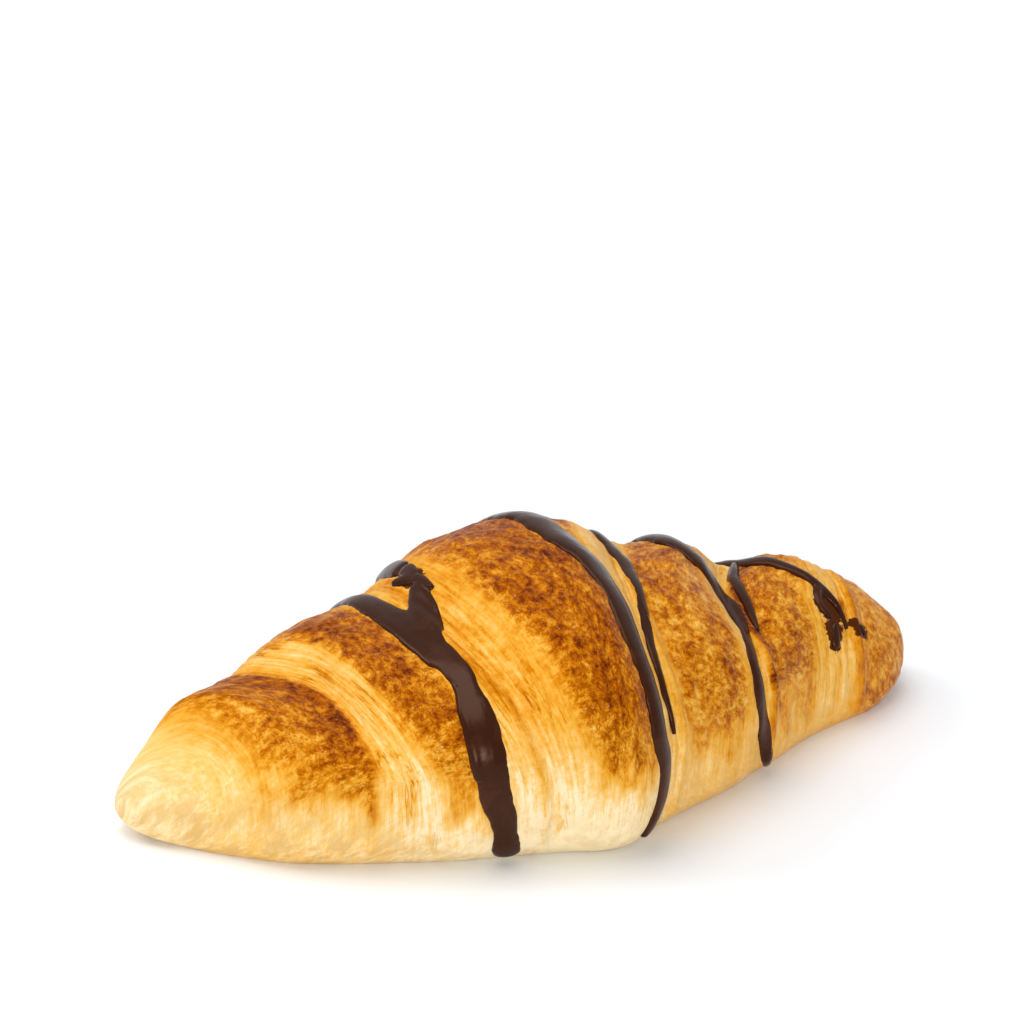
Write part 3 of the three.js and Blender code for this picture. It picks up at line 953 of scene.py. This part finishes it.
class PastrySettings(bpy.types.PropertyGroup):
    """Sizes and colours of the croissant and its chocolate."""

    segments_round: count_setting("Segments round", "Mesh steps round the roll", 280)
    rings: count_setting("Rings", "Mesh steps along the roll", 348)
    crease_depth: length_setting("Crease depth", "How deep a wrap's foot is cut in", 1.2)
    layer_height: length_setting("Layer height", "How far the layers stand out on a wrap's edge", 0.22)
    layer_spacing: length_setting("Layer spacing", "Distance between the layers on a wrap's edge", 2.2)
    blister_height: length_setting("Blister height", "How far the browned crust blisters", 0.36)
    pleat_height: length_setting("Pleat height", "Height of the fine pleats in pale dough", 0.12)
    lump_height: length_setting("Lump height", "How far the pale dough swells in lumps", 0.3)
    chocolate_fineness: length_setting("Chocolate fineness", "Distance between the rings of a line", 0.6)
    chocolate_edge: length_setting("Chocolate edge", "How far a line's edges stand up", 0.2)
    chocolate_sink: length_setting("Chocolate sink", "How far a line reaches into the crust", 0.9)
    chocolate_voxel: length_setting("Chocolate voxel", "Distance between points of the fused lines", 0.3)
    pale_dough: colour_setting("Pale dough", "Dough that hardly coloured", (0.95, 0.79, 0.5))
    cream_dough: colour_setting("Cream dough", "Dough that took a little colour", (0.9, 0.56, 0.17))
    golden_crust: colour_setting("Golden crust", "Lightly baked crust", (0.81, 0.385, 0.04))
    amber_crust: colour_setting("Amber crust", "Well baked crust", (0.64, 0.218, 0.004))
    brown_crust: colour_setting("Brown crust", "Browned crust", (0.42, 0.106, 0.001))
    dark_crust: colour_setting("Dark crust", "The darker blotches", (0.26, 0.048, 0.0005))
    burnt_crust: colour_setting("Burnt crust", "The darkest spots", (0.09, 0.014, 0.0005))
    # Colour of the painted shade in patches low down by the tray
    shaded_low_dough: colour_setting("Tray dough", "Dull patches low down by the tray", (0.70, 0.44, 0.15))
    thin_chocolate: colour_setting("Thin chocolate", "Chocolate wiped on the crust", (0.075, 0.017, 0.003))
    dark_chocolate: colour_setting("Dark chocolate", "Chocolate where it is glossy", (0.032, 0.007, 0.0018))
    bloom_chocolate: colour_setting("Bloomed chocolate", "Chocolate where it is dull", (0.072, 0.019, 0.0055))


class StageSettings(bpy.types.PropertyGroup):
    """Floor, light and camera."""

    floor_colour: colour_setting("Floor", "Colour of the floor", (0.92, 0.95, 0.985))
    elevation: angle_setting("Elevation", "Camera's height angle", 28.6)
    azimuth: angle_setting("Azimuth", "Camera's turn from the front", -23.1)
    distance: length_setting("Distance", "From the camera to the croissant", 912.6)


# ---------------------------------------------------------------------------------------------------
# Operators
# ---------------------------------------------------------------------------------------------------
class PASTRY_OT_croissant(bpy.types.Operator):
    """Model the baked croissant with its wraps, layers and blistered crust"""

    bl_idname = "pastry.croissant"
    bl_label = "Croissant"

    def execute(self, context):
        settings = context.scene.pastry
        mesh_data = croissant_mesh(settings)
        piece = to_object("croissant_crust", mesh_data, crust_material(settings))
        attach(piece, BODY)
        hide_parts(CROISSANT_NODE)
        return {"FINISHED"}


class PASTRY_OT_chocolate(bpy.types.Operator):
    """Pipe the chocolate lines over the croissant"""

    bl_idname = "pastry.chocolate"
    bl_label = "Chocolate lines"

    def execute(self, context):
        settings = context.scene.pastry
        material = chocolate_material(settings)
        for number, (node, lines) in enumerate(CHOCOLATE_LINES):
            mesh_data = chocolate_mesh(node, lines, CHOCOLATE_SEED + number, settings)
            piece = to_object(node + "_set", mesh_data, material)
            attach(piece, BODY)
            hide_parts(node)
        return {"FINISHED"}


class PASTRY_OT_stage(bpy.types.Operator):
    """Set up the pale floor, the soft light and the camera"""

    bl_idname = "pastry.stage"
    bl_label = "Stage"

    def execute(self, context):
        settings = context.scene.pastry_stage
        make_floor(settings)
        make_lights()
        make_camera(settings)
        return {"FINISHED"}


class PASTRY_PT_panel(bpy.types.Panel):
    """Shows a button for each operator: the croissant, its chocolate lines and the stage"""

    bl_idname = "PASTRY_PT_panel"
    bl_label = "Chocolate-drizzled croissant"
    bl_space_type = "VIEW_3D"
    bl_region_type = "UI"
    bl_category = "Pastry"

    def draw(self, context):
        for operator in OPERATORS:
            self.layout.operator(operator.bl_idname)


OPERATORS = (PASTRY_OT_croissant, PASTRY_OT_chocolate, PASTRY_OT_stage)
CLASSES = (PastrySettings, StageSettings, *OPERATORS, PASTRY_PT_panel)


def register():
    for cls in CLASSES:
        bpy.utils.register_class(cls)
    bpy.types.Scene.pastry = bpy.props.PointerProperty(type=PastrySettings)
    bpy.types.Scene.pastry_stage = bpy.props.PointerProperty(type=StageSettings)


def unregister():
    del bpy.types.Scene.pastry_stage
    del bpy.types.Scene.pastry
    for cls in reversed(CLASSES):
        bpy.utils.unregister_class(cls)


def main():
    register()
    bpy.ops.pastry.stage()
    bpy.ops.pastry.croissant()
    bpy.ops.pastry.chocolate()


if __name__ == "__main__":
    main()
